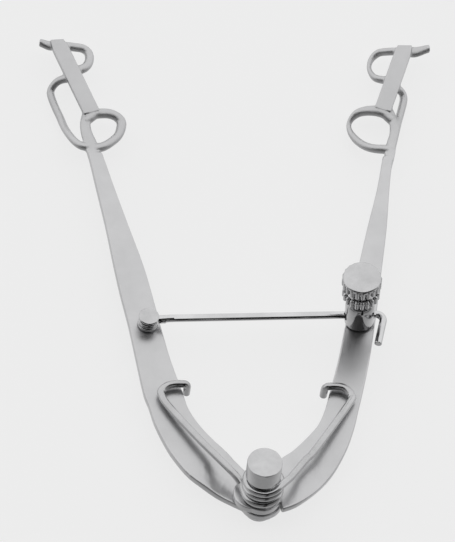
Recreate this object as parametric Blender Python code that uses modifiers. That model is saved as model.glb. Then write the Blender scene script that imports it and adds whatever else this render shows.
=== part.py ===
"""An eye speculum, fully open: two arms with fenestrated blades on a sprung pivot, and a clamped cross rod.

Metres, +Z up, +Y from the pivot to the blades. The origin is on the pivot's axis, at its nut's flat underside.
"""

import math

import bmesh
import bpy

MM = 0.001
LEFT, RIGHT = -1, 1
BAND_STEPS, ARM_STEPS, ARM_COLUMNS = 3, 3, 5

# Heights and thicknesses, from the nut's underside up
PLAY = 0.3 * MM
NUT_HEIGHT = 1.0 * MM
HUB_THICKNESS = 1.05 * MM
ARM_THICKNESS = 1.0 * MM
ARM_TOP = 3.1 * MM
BAND_THICKNESS = 0.6 * MM
SPINE_THICKNESS = 0.7 * MM
OUTER_BAND_THICKNESS = 0.5 * MM
STRIP_THICKNESS = 0.75 * MM
STRIP_RISE = 0.3 * MM

# Pivot
HUB_RADIUS = 2.6 * MM
HUB_LOBE_AT = {LEFT: (0.5 * MM, 0.1 * MM), RIGHT: (-1.15 * MM, 0.2 * MM)}
HUB_LOBE_RADIUS = 2.45 * MM
HUB_LOBE_STEP = 0.03 * MM
HUB_LEVEL_RADIUS = 4.6 * MM
ARM_LEVEL_RADIUS = 9.0 * MM
PIVOT_SHANK_RADIUS = 1.2 * MM
PIVOT_CAP_RADIUS = 2.3 * MM
PIVOT_CAP_HEIGHT = 3.1 * MM
PIVOT_NUT_RADIUS = 2.3 * MM
CAP_DOME = ((0.6, 0.03 * MM), (0.85, 0.1 * MM), (0.95, 0.25 * MM), (1.0, 0.55 * MM))  # share of the radius, drop
CAP_FOOT_CHAMFER = 0.15 * MM

# Arms, from the hub up: x and y of the outer edge, then of the inner edge
ARM_EDGES = {
    LEFT: (
        (2.0, -1.5, 1.1, 4.0), (3.87, -0.38, 2.36, 5.29), (6.47, 1.17, 3.27, 6.26), (9.06, 3.12, 4.3, 7.33),
        (10.91, 5.79, 5.55, 8.72), (12.1, 8.16, 6.79, 10.29), (13.26, 11.33, 7.89, 12.02),
        (13.9, 14.1, 8.75, 13.9), (14.45, 16.1, 9.3, 16.2), (15.17, 21.4, 10.64, 21.4),
        (15.87, 26.7, 11.65, 26.7), (16.68, 31.5, 12.5, 31.5), (17.35, 36.3, 13.45, 36.3),
        (18.13, 42.6, 15.1, 42.6), (19.1, 49.0, 16.75, 49.0), (19.85, 54.2, 18.0, 54.2),
    ),
    RIGHT: (
        (2.6, -2.3, 1.5, 4.2), (4.55, -1.46, 2.3, 5.2), (6.65, 0.26, 3.3, 6.2), (8.8, 2.66, 4.29, 7.04),
        (10.31, 4.92, 5.69, 8.45), (11.88, 8.13, 7.11, 10.07), (12.98, 11.34, 8.24, 11.6),
        (13.6, 13.8, 9.16, 13.77), (14.25, 16.3, 9.9, 16.33), (15.45, 21.4, 11.3, 21.4),
        (16.45, 26.7, 12.5, 26.7), (17.25, 31.5, 13.65, 31.5), (18.0, 36.3, 14.85, 36.3),
        (19.0, 42.6, 16.4, 42.6), (19.75, 49.0, 18.1, 49.0), (20.5, 54.4, 19.2, 54.4),
    ),
}
ARM_EDGE_BEVEL = 0.22 * MM

# Blades: x, y and width of each band's middle line. What lies off the strip drops, as the blade is curved
STRIP_FOOT = {LEFT: (19.05, 60.37), RIGHT: (19.58, 61.57)}
STRIP_TIP = {LEFT: (23.09, 71.77), RIGHT: (23.18, 71.91)}
STRIP_WIDTHS = (2.2, 2.2, 2.2, 2.2, 2.15, 1.5)
SPINE = {
    LEFT: ((19.1, 61.2, 2.0), (19.62, 60.2, 1.5), (19.95, 58.7, 1.45), (19.79, 57.1, 1.6), (19.4, 55.7, 1.8),
           (19.0, 53.6, 1.6)),
    RIGHT: ((20.05, 62.3, 2.0), (20.72, 61.2, 1.6), (21.0, 59.8, 1.3), (20.88, 58.0, 1.2), (20.45, 56.2, 1.4),
            (20.0, 53.8, 1.25)),
}
LOWER_RING = {
    LEFT: ((19.31, 59.8, 1.3), (18.62, 60.4, 1.3), (17.8, 60.6, 1.3), (16.72, 60.7, 1.3), (15.72, 60.4, 1.25),
           (15.1, 59.7, 1.25), (15.16, 58.7, 1.2), (15.66, 57.4, 1.1), (16.69, 56.2, 1.1), (17.68, 55.4, 1.15),
           (18.9, 54.9, 1.2)),
    RIGHT: ((20.37, 60.8, 1.4), (19.86, 61.3, 1.4), (18.82, 61.7, 1.4), (17.54, 61.9, 1.3), (16.43, 61.8, 1.05),
            (15.62, 61.2, 0.75), (15.23, 60.4, 0.6), (15.31, 59.5, 0.7), (15.77, 58.4, 0.9), (16.44, 57.3, 1.0),
            (17.28, 56.4, 1.05), (18.4, 55.8, 1.1), (20.1, 55.5, 1.2)),
}
UPPER_LOOP = {
    LEFT: ((22.3, 71.3, 1.1), (20.66, 71.25, 1.1), (19.58, 71.2, 1.1), (18.9, 70.6, 1.1), (18.82, 69.5, 1.1),
           (19.22, 68.4, 1.1), (19.94, 67.7, 1.15), (21.0, 67.3, 1.2)),
    RIGHT: ((22.6, 71.3, 0.95), (20.84, 71.5, 0.95), (19.7, 71.55, 0.9), (18.81, 70.8, 0.7), (18.4, 69.5, 0.55),
            (18.61, 68.1, 0.7), (19.28, 67.1, 0.9), (20.9, 66.5, 1.0)),
}
OUTER_LOOP = {
    LEFT: ((21.3, 66.1, 1.1), (22.78, 66.1, 1.05), (23.62, 65.7, 1.0), (24.07, 65.0, 0.95), (23.97, 64.1, 0.95),
           (23.46, 62.4, 0.95), (22.85, 60.6, 0.95), (22.3, 58.3, 0.95), (21.58, 56.5, 0.95), (20.6, 55.35, 1.0),
           (19.5, 55.1, 1.0)),
    RIGHT: ((20.9, 65.5, 1.1), (21.96, 65.4, 1.1), (22.55, 65.0, 1.0), (22.68, 64.3, 1.0), (22.37, 63.0, 1.0),
            (21.83, 61.1, 1.0), (21.25, 58.8, 1.0), (20.8, 57.0, 1.0), (20.4, 55.5, 1.0)),
}
TIP_STUB = {
    LEFT: ((22.66, 71.42, 1.0), (23.97, 71.5, 1.0), (25.4, 71.75, 0.75)),
    RIGHT: ((22.67, 71.4, 1.1), (24.29, 71.45, 1.15), (26.4, 71.6, 0.75)),
}
TIP_STUB_DIP = 0.3 * MM
TIP_STUB_RISE = {LEFT: 0.25 * MM, RIGHT: 0.55 * MM}
OUTER_REACH = {LEFT: 4.0 * MM, RIGHT: 3.0 * MM}
OUTER_DROP = 2.1 * MM
INNER_REACH = 4.3 * MM
INNER_DROP = {LEFT: 0.7 * MM, RIGHT: 1.3 * MM}
TIP_STUB_THICKNESS = 0.56 * MM

# Cross rod, from the stud on the left arm through the block on the right arm
STUD_AT = (-13.4 * MM, 26.73 * MM)
BLOCK_AT = (14.35 * MM, 27.9 * MM)
ROD_RADIUS = 0.5 * MM
ROD_ABOVE_ARM = 1.65 * MM
ROD_END_PAST_BLOCK = 2.15 * MM
ROD_HOOK_LENGTH = 4.6 * MM
ROD_HOOK_BEND = 0.9 * MM
ROD_HOOK_ANGLE = math.radians(106)
EYE_RADIUS = 1.35 * MM
EYE_THICKNESS = 0.5 * MM
EYE_BELOW_ROD = 0.45 * MM
EYE_NECK_LENGTH = 2.6 * MM
EYE_NECK_WIDTH = 1.1 * MM
ROD_START = 1.85 * MM
STUD_SHANK_RADIUS = 0.6 * MM
STUD_HEAD_RADIUS = 1.35 * MM
STUD_HEAD_HEIGHT = 0.3 * MM
STUD_SHOULDER_HEIGHT = 0.35 * MM
HEAD_ROUND = 0.12 * MM
STUD_SHOULDER_RADIUS = 1.35 * MM
SMALL_NUT_RADIUS = 1.6 * MM
SMALL_NUT_HEIGHT = 1.0 * MM
NUT_FLOOR = 0.3 * MM
NUT_RIM_CHAMFER = 0.1 * MM
NUT_FOOT_CHAMFER = 0.15 * MM

# Swivel block and thumb screw
BLOCK_LEAN = math.radians(4)
BLOCK_RADIUS = 1.95 * MM
BLOCK_TOP_RADIUS = 1.8 * MM
BLOCK_FOOT_RADIUS = 1.75 * MM
BLOCK_HEIGHT = 5.3 * MM
BLOCK_TAPER = 0.6 * MM
BLOCK_ROUND = 0.15 * MM
BLOCK_SHANK_RADIUS = 0.6 * MM
SCREW_SHANK_RADIUS = 0.75 * MM
SCREW_HEAD_RADIUS = 2.62 * MM
SCREW_FOOT_RADIUS = 2.25 * MM
SCREW_HEAD_HEIGHT = 4.2 * MM
SCREW_ROW_SPLIT = 2.1 * MM
SCREW_TEETH = 20
SCREW_TOOTH_DEPTH = 0.22 * MM
KNURL_CHAMFER = 0.15 * MM
GROOVE_HALF = 0.15 * MM
POINT_CHAMFER = 0.15 * MM

# Torsion spring
SPRING_RADIUS = 0.5 * MM
COIL_RADIUS = 2.3 * MM
COIL_PITCH = 1.25 * MM
COIL_FROM, COIL_TO = math.radians(197), math.radians(1045)
COIL_STEPS_A_TURN = 22
HOOK_ABOVE_ARM = 0.85 * MM
LEFT_LEG = ((-2.65, 0.9, 1.6), (-3.4, 2.1, 1.85), (-4.7, 3.8, 1.8), (-7.75, 7.9, 1.42), (-11.4, 13.3, 0.9), (-12.25, 15.1, 0.85))
RIGHT_LEG = ((3.6, 0.75, 3.5), (5.83, 4.06, 2.7), (7.3, 6.1, 2.15), (12.3, 14.2, 0.95), (12.65, 15.4, 0.85))
LEFT_HOOK = ((-12.2, 15.9), (-11.4, 16.6), (-10.3, 16.9), (-9.2, 16.9))
RIGHT_HOOK = ((12.4, 16.05), (11.7, 16.7), (10.7, 16.9), (9.75, 16.85))
HOOK_DROP = 2.1 * MM

# Levels that follow from the sizes above
LEFT_HUB_BOTTOM = NUT_HEIGHT + PLAY
LEFT_HUB_TOP = LEFT_HUB_BOTTOM + HUB_THICKNESS
RIGHT_HUB_BOTTOM = LEFT_HUB_TOP + PLAY
RIGHT_HUB_TOP = RIGHT_HUB_BOTTOM + HUB_THICKNESS
ARM_MIDDLE = ARM_TOP - ARM_THICKNESS / 2
HUB_MIDDLE = {LEFT: LEFT_HUB_BOTTOM + HUB_THICKNESS / 2, RIGHT: RIGHT_HUB_BOTTOM + HUB_THICKNESS / 2}
COIL_BOTTOM = RIGHT_HUB_TOP + PLAY + SPRING_RADIUS
COIL_TOP = COIL_BOTTOM + COIL_PITCH * (COIL_TO - COIL_FROM) / (2 * math.pi)
CAP_BOTTOM = COIL_TOP + SPRING_RADIUS + PLAY
ROD_LEVEL = ARM_TOP + ROD_ABOVE_ARM
EYE_MIDDLE = ROD_LEVEL - EYE_BELOW_ROD
BLOCK_BOTTOM = ARM_TOP + PLAY
BLOCK_TOP = BLOCK_BOTTOM + BLOCK_HEIGHT
SMALL_NUT_TOP = ARM_TOP - ARM_THICKNESS - PLAY
BLADE_LEVEL = ARM_TOP - ARM_THICKNESS / 2

STEEL = (0.60, 0.60, 0.61, 1.0)


def collection(name):
    made = bpy.data.collections.new(name)
    bpy.context.scene.collection.children.link(made)
    return made


def steel(name, roughness):
    """Stainless steel: a neutral grey metal, with the roughness of its finish."""
    made = bpy.data.materials.new(name)
    made.use_nodes = True
    shader = made.node_tree.nodes["Principled BSDF"]
    shader.inputs["Base Color"].default_value = STEEL
    shader.inputs["Metallic"].default_value = 1.0
    shader.inputs["Roughness"].default_value = roughness
    made.diffuse_color = STEEL
    return made


def part(name, data, roughness=0.3):
    """An object in the instrument's collection, with a material of its own."""
    obj = bpy.data.objects.new(name, data)
    obj.data.materials.append(steel(name + "_steel", roughness))
    bpy.data.collections["eye_speculum"].objects.link(obj)
    return obj


def helper(name, data):
    """A shape that only joins or cuts another."""
    obj = bpy.data.objects.new(name, data)
    obj.hide_render = True
    obj.display_type = "WIRE"
    bpy.data.collections["cutters"].objects.link(obj)
    return obj


def smooth(points, steps):
    """Points on a curve that passes through the given ones, with this many steps between two."""
    ends = [points[0]] + list(points) + [points[-1]]
    found = []
    for a, b, c, d in zip(ends, ends[1:], ends[2:], ends[3:]):
        for k in range(steps):
            t = k / steps
            found.append(tuple(
                q + t * ((r - p) / 2 + t * (p - 2.5 * q + 2 * r - s / 2 + t * (1.5 * (q - r) + (s - p) / 2)))
                for p, q, r, s in zip(a, b, c, d)
            ))
    return found + [tuple(points[-1])]


def in_mm(points):
    return [tuple(value * MM for value in point) for point in points]


def surface(name, rows, thickness, make=helper):
    """A sheet lofted through rows of points, with a wall of the given thickness about it."""
    width = len(rows[0])
    faces = [
        (i * width + j, (i + 1) * width + j, (i + 1) * width + j + 1, i * width + j + 1)
        for i in range(len(rows) - 1) for j in range(width - 1)
    ]
    mesh = bpy.data.meshes.new(name)
    mesh.from_pydata([point for row in rows for point in row], [], faces)
    obj = make(name, mesh)
    solid = obj.modifiers.new("wall", "SOLIDIFY")
    solid.thickness = thickness
    solid.offset = 0
    solid.use_even_offset = True
    return obj


def ribbon(name, path, height, thickness, side, square_tip=False):
    """A band along a path of (x, y, width), which follows the surface that height gives."""
    stations = smooth(in_mm(path), BAND_STEPS)
    last = len(stations) - 1
    rows = []
    for i, (x, y, width) in enumerate(stations):
        before, after = stations[max(i - 1, 0)], stations[min(i + 1, last)]
        dx, dy = after[0] - before[0], after[1] - before[1]
        length = math.hypot(dx, dy)
        turn = (i / last) ** 6 if square_tip else 0
        nx, ny = -dy / length * (1 - turn) - turn, dx / length * (1 - turn)
        row = []
        for across in (-width / 2, 0, width / 2):
            px, py = x + nx * across, y + ny * across
            row.append((side * px, py, height(px, py)))
        rows.append(row)
    return surface(name, rows, thickness)


def cylinder(name, radius, bottom, top, at=(0, 0), segments=40):
    mesh = bpy.data.meshes.new(name)
    shape = bmesh.new()
    bmesh.ops.create_cone(
        shape, cap_ends=True, segments=segments, radius1=radius, radius2=radius, depth=top - bottom
    )
    bmesh.ops.translate(shape, verts=shape.verts, vec=(at[0], at[1], (top + bottom) / 2))
    shape.to_mesh(mesh)
    shape.free()
    return helper(name, mesh)


def turned(name, profile, at=(0, 0), steps=36):
    """A turned piece: its profile runs from the axis at the top to the axis at the bottom."""
    mesh = bpy.data.meshes.new(name)
    mesh.from_pydata([(r, 0, z) for r, z in profile], [(i, i + 1) for i in range(len(profile) - 1)], [])
    obj = part(name, mesh)
    obj.location = (at[0], at[1], 0)
    screw = obj.modifiers.new("turn", "SCREW")
    screw.steps = screw.render_steps = steps
    screw.use_merge_vertices = True
    screw.merge_threshold = 0.000005
    screw.use_smooth_shade = True
    return obj


def combine(obj, other, operation):
    boolean = obj.modifiers.new(other.name, "BOOLEAN")
    boolean.operation = operation
    boolean.object = other


def wire(name, points, radius):
    """Round wire through the points, as a mesh with its ends closed."""
    data = bpy.data.curves.new(name, "CURVE")
    data.dimensions = "3D"
    data.bevel_depth = radius
    data.bevel_resolution = 2
    data.use_fill_caps = True
    line = data.splines.new("POLY")
    line.points.add(len(points) - 1)
    for point, place in zip(line.points, points):
        point.co = (*place, 1)
    curve = bpy.data.objects.new(name + "_curve", data)
    bpy.context.scene.collection.objects.link(curve)
    bpy.context.view_layer.update()
    mesh = bpy.data.meshes.new_from_object(curve.evaluated_get(bpy.context.evaluated_depsgraph_get()))
    bpy.data.objects.remove(curve)
    shape = bmesh.new()
    shape.from_mesh(mesh)
    bmesh.ops.remove_doubles(shape, verts=shape.verts, dist=0.000002)
    bmesh.ops.recalc_face_normals(shape, faces=shape.faces)
    shape.to_mesh(mesh)
    shape.free()
    mesh.shade_smooth()
    return mesh


def ease(value):
    """0 to 1 with a soft start and end."""
    value = min(max(value, 0), 1)
    return value * value * (3 - 2 * value)


def strip_line(side, y):
    """The x of the blade strip's middle line at this y, and of the spine's below its foot."""
    (x0, y0), (x1, y1) = in_mm((STRIP_FOOT[side], STRIP_TIP[side]))
    return x0 + (x1 - x0) * max(y - y0, 0) / (y1 - y0) + 0.8 * MM * ease((y0 - y) / (4 * MM))


def arm_height(side):
    """The arm's middle surface: level, but low or high at the hub, where the two arms lap."""
    def height(x, y):
        out = (math.hypot(x, y) - HUB_LEVEL_RADIUS) / (ARM_LEVEL_RADIUS - HUB_LEVEL_RADIUS)
        return HUB_MIDDLE[side] + (ARM_MIDDLE - HUB_MIDDLE[side]) * ease(out)
    return height


def blade_height(side):
    """The blade's middle surface, which curves down on both sides of its strip."""
    def height(x, y):
        off = x - strip_line(side, y)
        if off > 0:
            return BLADE_LEVEL - OUTER_DROP * (off / OUTER_REACH[side]) ** 2
        return BLADE_LEVEL - INNER_DROP[side] * (off / INNER_REACH) ** 2
    return height


def stub_height(side):
    """The tip stub's middle surface, which dips and then turns up at its end."""
    start, end = TIP_STUB[side][0][0] * MM, TIP_STUB[side][-1][0] * MM

    def height(x, y):
        out = (x - start) / (end - start)
        return BLADE_LEVEL - TIP_STUB_DIP * ease(2 * out) + TIP_STUB_RISE[side] * ease(2 * out - 1)
    return height


def arm_plate(name, side):
    """The flat arm from its hub to the blade's neck."""
    height = arm_height(side)
    rows = []
    for x0, y0, x1, y1 in smooth(in_mm(ARM_EDGES[side]), ARM_STEPS):
        row = []
        for j in range(ARM_COLUMNS + 1):
            px, py = x0 + (x1 - x0) * j / ARM_COLUMNS, y0 + (y1 - y0) * j / ARM_COLUMNS
            row.append((side * px, py, height(px, py)))
        rows.append(row)
    plate = surface(name, rows, ARM_THICKNESS, part)
    bevel = plate.modifiers.new("edges", "BEVEL")
    bevel.width = ARM_EDGE_BEVEL
    bevel.segments = 1
    bevel.limit_method = "ANGLE"
    bevel.angle_limit = math.radians(50)
    return plate


def blade_bands(side):
    """The pierced blade's bands: spine, lower ring, upper loop, outer loop, tip stub and strip."""
    height = blade_height(side)
    (x0, y0), (x1, y1) = STRIP_FOOT[side], STRIP_TIP[side]
    strip = [
        (x0 + (x1 - x0) * along, y0 + (y1 - y0) * along, width)
        for along, width in zip((0, 0.25, 0.5, 0.75, 0.9, 1), STRIP_WIDTHS)
    ]
    tag = "left" if side == LEFT else "right"
    shapes = (
        ("spine", SPINE[side], height, SPINE_THICKNESS),
        ("lower_ring", LOWER_RING[side], height, BAND_THICKNESS),
        ("upper_loop", UPPER_LOOP[side], height, BAND_THICKNESS),
        ("outer_loop", OUTER_LOOP[side], height, OUTER_BAND_THICKNESS),
        ("tip_stub", TIP_STUB[side], stub_height(side), TIP_STUB_THICKNESS),
    )
    for shape, path, surface_height, thickness in shapes:
        yield ribbon(f"{tag}_{shape}", path, surface_height, thickness, side)
    yield ribbon(
        tag + "_strip", strip, lambda x, y: BLADE_LEVEL + STRIP_RISE, STRIP_THICKNESS, side, True,
    )


def arm(name, side, pin_at, pin_radius):
    """One arm in one piece with its blade, bored for the pivot and for the pin that it carries."""
    plate = arm_plate(name, side)
    tag = "left" if side == LEFT else "right"
    middle = HUB_MIDDLE[side]
    hub = cylinder(tag + "_hub", HUB_RADIUS, middle - HUB_THICKNESS / 2, middle + HUB_THICKNESS / 2)
    lobe = cylinder(
        tag + "_hub_lobe", HUB_LOBE_RADIUS, middle - HUB_THICKNESS / 2 + HUB_LOBE_STEP,
        middle + HUB_THICKNESS / 2 - HUB_LOBE_STEP, HUB_LOBE_AT[side],
    )
    combine(plate, hub, "UNION")
    combine(plate, lobe, "UNION")
    for band in blade_bands(side):
        combine(plate, band, "UNION")
    bore = cylinder(tag + "_bore", PIVOT_SHANK_RADIUS + PLAY, -MM, COIL_BOTTOM)
    combine(plate, bore, "DIFFERENCE")
    pin_hole = cylinder(tag + "_pin_hole", pin_radius + PLAY, 0, ROD_LEVEL, pin_at, segments=28)
    combine(plate, pin_hole, "DIFFERENCE")
    return plate


def closed_nut(name, radius, bottom, top, pin_radius, at=(0, 0)):
    """A low round nut, with a blind hole in its top for the end of the pin above it."""
    nut = turned(name, (
        (0, top), (radius - NUT_RIM_CHAMFER, top), (radius, top - NUT_RIM_CHAMFER),
        (radius, bottom + NUT_FOOT_CHAMFER), (radius - NUT_FOOT_CHAMFER, bottom), (0, bottom),
    ), at)
    hole = cylinder(name + "_hole", pin_radius + PLAY, bottom + NUT_FLOOR, top + MM, segments=28)
    hole.parent = nut
    combine(nut, hole, "DIFFERENCE")
    return nut


def pivot():
    """The post with its round cap, and the closed nut on its lower end."""
    cap, shank, low = PIVOT_CAP_RADIUS, PIVOT_SHANK_RADIUS, CAP_BOTTOM
    top = low + PIVOT_CAP_HEIGHT
    shank_end = NUT_FLOOR + PLAY
    turned("pivot_post", (
        (0, top), *[(cap * share, top - drop) for share, drop in CAP_DOME], (cap, low + CAP_FOOT_CHAMFER),
        (cap - CAP_FOOT_CHAMFER, low), (shank, low), (shank, shank_end), (0, shank_end),
    ))
    closed_nut("pivot_nut", PIVOT_NUT_RADIUS, 0, NUT_HEIGHT, shank)


def stud():
    """The stud on the left arm that the rod's eye turns on, and its nut."""
    shank, shoulder, head = STUD_SHANK_RADIUS, STUD_SHOULDER_RADIUS, STUD_HEAD_RADIUS
    low = ARM_TOP + PLAY
    shoulder_top = low + STUD_SHOULDER_HEIGHT
    head_low = EYE_MIDDLE + EYE_THICKNESS / 2 + PLAY
    head_top = head_low + STUD_HEAD_HEIGHT
    end = SMALL_NUT_TOP - SMALL_NUT_HEIGHT + NUT_FLOOR + PLAY
    turned("rod_stud", (
        (0, head_top), (head - HEAD_ROUND, head_top), (head, head_top - HEAD_ROUND), (head, head_low),
        (shank, head_low), (shank, shoulder_top), (shoulder, shoulder_top), (shoulder, low),
        (shank, low), (shank, end), (0, end),
    ), STUD_AT)
    closed_nut("stud_nut", SMALL_NUT_RADIUS, SMALL_NUT_TOP - SMALL_NUT_HEIGHT, SMALL_NUT_TOP, shank, STUD_AT)


def rod_direction():
    """Length and unit vector of the line from the stud to the block."""
    dx, dy = BLOCK_AT[0] - STUD_AT[0], BLOCK_AT[1] - STUD_AT[1]
    length = math.hypot(dx, dy)
    return length, dx / length, dy / length


def cross_rod():
    """The rod with its flat eye on the stud and its hooked stop end past the block."""
    reach, dx, dy = rod_direction()
    end = reach + ROD_END_PAST_BLOCK
    line = [(ROD_START, 0), (reach, 0), (end, 0)]
    for step in range(1, 9):
        turn = ROD_HOOK_ANGLE * step / 8
        line.append((end + ROD_HOOK_BEND * math.sin(turn), ROD_HOOK_BEND * (math.cos(turn) - 1)))
    along, across = line[-1]
    straight = ROD_HOOK_LENGTH - ROD_HOOK_BEND
    line.append((along + straight * math.cos(ROD_HOOK_ANGLE), across - straight * math.sin(ROD_HOOK_ANGLE)))
    points = [(a * dx - b * dy, a * dy + b * dx, ROD_LEVEL) for a, b in line]
    rod = part("cross_rod", wire("cross_rod", points, ROD_RADIUS))
    rod.location = (*STUD_AT, 0)
    low, top = EYE_MIDDLE - EYE_THICKNESS / 2, EYE_MIDDLE + EYE_THICKNESS / 2
    eye = cylinder("rod_eye", EYE_RADIUS, low, top)
    half = EYE_NECK_WIDTH / 2
    corners = [(a * dx - b * dy, a * dy + b * dx) for a in (0, EYE_NECK_LENGTH) for b in (-half, half)]
    neck = bpy.data.meshes.new("rod_neck")
    neck.from_pydata(
        [(x, y, z) for z in (low + 0.03 * MM, top - 0.03 * MM) for x, y in corners], [],
        [(0, 1, 3, 2), (4, 6, 7, 5), (0, 2, 6, 4), (1, 5, 7, 3), (0, 4, 5, 1), (2, 3, 7, 6)],
    )
    neck = helper("rod_neck", neck)
    hole = cylinder("rod_eye_hole", STUD_SHANK_RADIUS + PLAY, low - MM, top + MM, segments=28)
    for other, operation in ((neck, "UNION"), (eye, "UNION"), (hole, "DIFFERENCE")):
        other.location = rod.location
        combine(rod, other, operation)


def lean(obj):
    """Puts an object's origin on the block's axis at the rod's level, leaning inwards as the block does."""
    obj.location = (*BLOCK_AT, ROD_LEVEL)
    obj.rotation_euler = (0, -BLOCK_LEAN, 0)


def swivel_block():
    """The barrel that turns on the right arm, bored across for the rod and from above for the screw."""
    low, top, r, shank = BLOCK_BOTTOM - ROD_LEVEL, BLOCK_TOP - ROD_LEVEL, BLOCK_RADIUS, BLOCK_SHANK_RADIUS
    nut_top = SMALL_NUT_TOP - ROD_LEVEL
    nut_low = nut_top - SMALL_NUT_HEIGHT
    end = nut_low + NUT_FLOOR + PLAY
    block = turned("swivel_block", (
        (0, top), (BLOCK_TOP_RADIUS - BLOCK_ROUND, top), (BLOCK_TOP_RADIUS, top - BLOCK_ROUND),
        (r, top - BLOCK_TAPER), (r, low + BLOCK_TAPER), (BLOCK_FOOT_RADIUS, low + BLOCK_ROUND),
        (BLOCK_FOOT_RADIUS - BLOCK_ROUND, low), (shank, low), (shank, end), (0, end),
    ))
    lean(block)
    _, dx, dy = rod_direction()
    rod_bore = cylinder("rod_bore", ROD_RADIUS + PLAY, -3 * r, 3 * r, segments=28)
    rod_bore.location = block.location
    rod_bore.rotation_euler = (math.pi / 2, 0, math.atan2(dy, dx) + math.pi / 2)
    screw_bore = cylinder("screw_bore", SCREW_SHANK_RADIUS + PLAY, 0, top + MM, segments=28)
    lean(screw_bore)
    combine(block, rod_bore, "DIFFERENCE")
    combine(block, screw_bore, "DIFFERENCE")
    lean(closed_nut("block_nut", SMALL_NUT_RADIUS, nut_low, nut_top, shank))


def thumb_screw():
    """The clamp screw: a point just off the rod, and a head with two knurled rows."""
    foot = BLOCK_TOP + PLAY - ROD_LEVEL
    top = foot + SCREW_HEAD_HEIGHT
    split = foot + SCREW_ROW_SPLIT
    wide, narrow, shank, tooth = SCREW_HEAD_RADIUS, SCREW_FOOT_RADIUS, SCREW_SHANK_RADIUS, SCREW_TOOTH_DEPTH
    point = ROD_RADIUS + PLAY
    groove = narrow - tooth
    rings = (
        (point, shank - POINT_CHAMFER, 0), (point + POINT_CHAMFER, shank, 0), (foot, shank, 0),
        (foot, narrow - KNURL_CHAMFER, tooth), (foot + KNURL_CHAMFER, narrow, tooth),
        (split - GROOVE_HALF - KNURL_CHAMFER, narrow, tooth), (split - GROOVE_HALF, groove, 0),
        (split + GROOVE_HALF, groove, 0), (split + GROOVE_HALF + KNURL_CHAMFER, wide, tooth),
        (top - KNURL_CHAMFER, wide, tooth), (top, wide - KNURL_CHAMFER, tooth),
    )
    around = 2 * SCREW_TEETH
    points = []
    for z, radius, depth in rings:
        for k in range(around):
            r, turn = radius - depth * (k % 2), math.pi * k / SCREW_TEETH
            points.append((r * math.cos(turn), r * math.sin(turn), z))
    faces = [tuple(reversed(range(around))), tuple(range(len(points) - around, len(points)))]
    for ring in range(len(rings) - 1):
        for k in range(around):
            low, following = ring * around, (k + 1) % around
            faces.append((low + k, low + following, low + around + following, low + around + k))
    mesh = bpy.data.meshes.new("thumb_screw")
    mesh.from_pydata(points, [], faces)
    lean(part("thumb_screw", mesh))


def torsion_spring():
    """One wire: hook, leg, coil, leg and hook. Each leg lies on its own arm."""
    def hook(points):
        level = ARM_TOP + HOOK_ABOVE_ARM
        x, y = points[-1]
        inwards = -math.copysign(0.3 * MM, x)
        path = [(px * MM, py * MM, level) for px, py in points]
        path.append((x * MM + inwards, y * MM, level - 0.2 * MM))
        path.append((x * MM + 1.5 * inwards, y * MM, level - 0.6 * MM))
        path.append((x * MM + 1.6 * inwards, y * MM, level - HOOK_DROP))
        return path

    def leg(points):
        return [(x * MM, y * MM, ARM_TOP + above * MM) for x, y, above in points]

    steps = round(COIL_STEPS_A_TURN * (COIL_TO - COIL_FROM) / (2 * math.pi))
    coil = []
    for step in range(steps + 1):
        turn = COIL_FROM + (COIL_TO - COIL_FROM) * step / steps
        level = COIL_BOTTOM + (COIL_TOP - COIL_BOTTOM) * step / steps
        coil.append((COIL_RADIUS * math.cos(turn), COIL_RADIUS * math.sin(turn), level))
    left = smooth(leg(LEFT_LEG) + hook(LEFT_HOOK), 4)
    right = smooth(leg(RIGHT_LEG) + hook(RIGHT_HOOK), 4)
    part("torsion_spring", wire("torsion_spring", left[::-1] + coil + right, SPRING_RADIUS))


for existing in list(bpy.data.objects):
    bpy.data.objects.remove(existing)
collection("eye_speculum")
cutters = collection("cutters")
cutters.hide_render = True
arm("left_arm", LEFT, STUD_AT, STUD_SHANK_RADIUS)
lean_at_arm = math.tan(BLOCK_LEAN) * (ROD_LEVEL - ARM_MIDDLE)
arm("right_arm", RIGHT, (BLOCK_AT[0] + lean_at_arm, BLOCK_AT[1]), BLOCK_SHANK_RADIUS)
pivot()
stud()
cross_rod()
swivel_block()
thumb_screw()
torsion_spring()
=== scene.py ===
import math

import bpy
from mathutils import Matrix, Vector


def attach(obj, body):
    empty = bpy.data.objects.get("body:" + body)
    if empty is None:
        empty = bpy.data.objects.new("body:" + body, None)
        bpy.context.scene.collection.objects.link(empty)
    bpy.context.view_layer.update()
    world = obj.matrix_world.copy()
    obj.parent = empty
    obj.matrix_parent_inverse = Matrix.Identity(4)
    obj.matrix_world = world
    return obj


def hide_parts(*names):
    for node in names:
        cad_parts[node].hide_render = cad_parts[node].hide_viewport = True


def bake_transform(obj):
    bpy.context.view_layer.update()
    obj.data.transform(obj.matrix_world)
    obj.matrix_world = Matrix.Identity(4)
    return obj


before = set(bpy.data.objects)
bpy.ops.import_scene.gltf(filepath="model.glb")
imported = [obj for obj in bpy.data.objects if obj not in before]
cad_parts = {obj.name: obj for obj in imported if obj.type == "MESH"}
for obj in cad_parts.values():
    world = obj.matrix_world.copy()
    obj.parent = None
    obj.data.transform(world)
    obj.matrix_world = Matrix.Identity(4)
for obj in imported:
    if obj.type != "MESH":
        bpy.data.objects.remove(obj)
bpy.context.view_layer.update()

MM = 0.001

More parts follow.
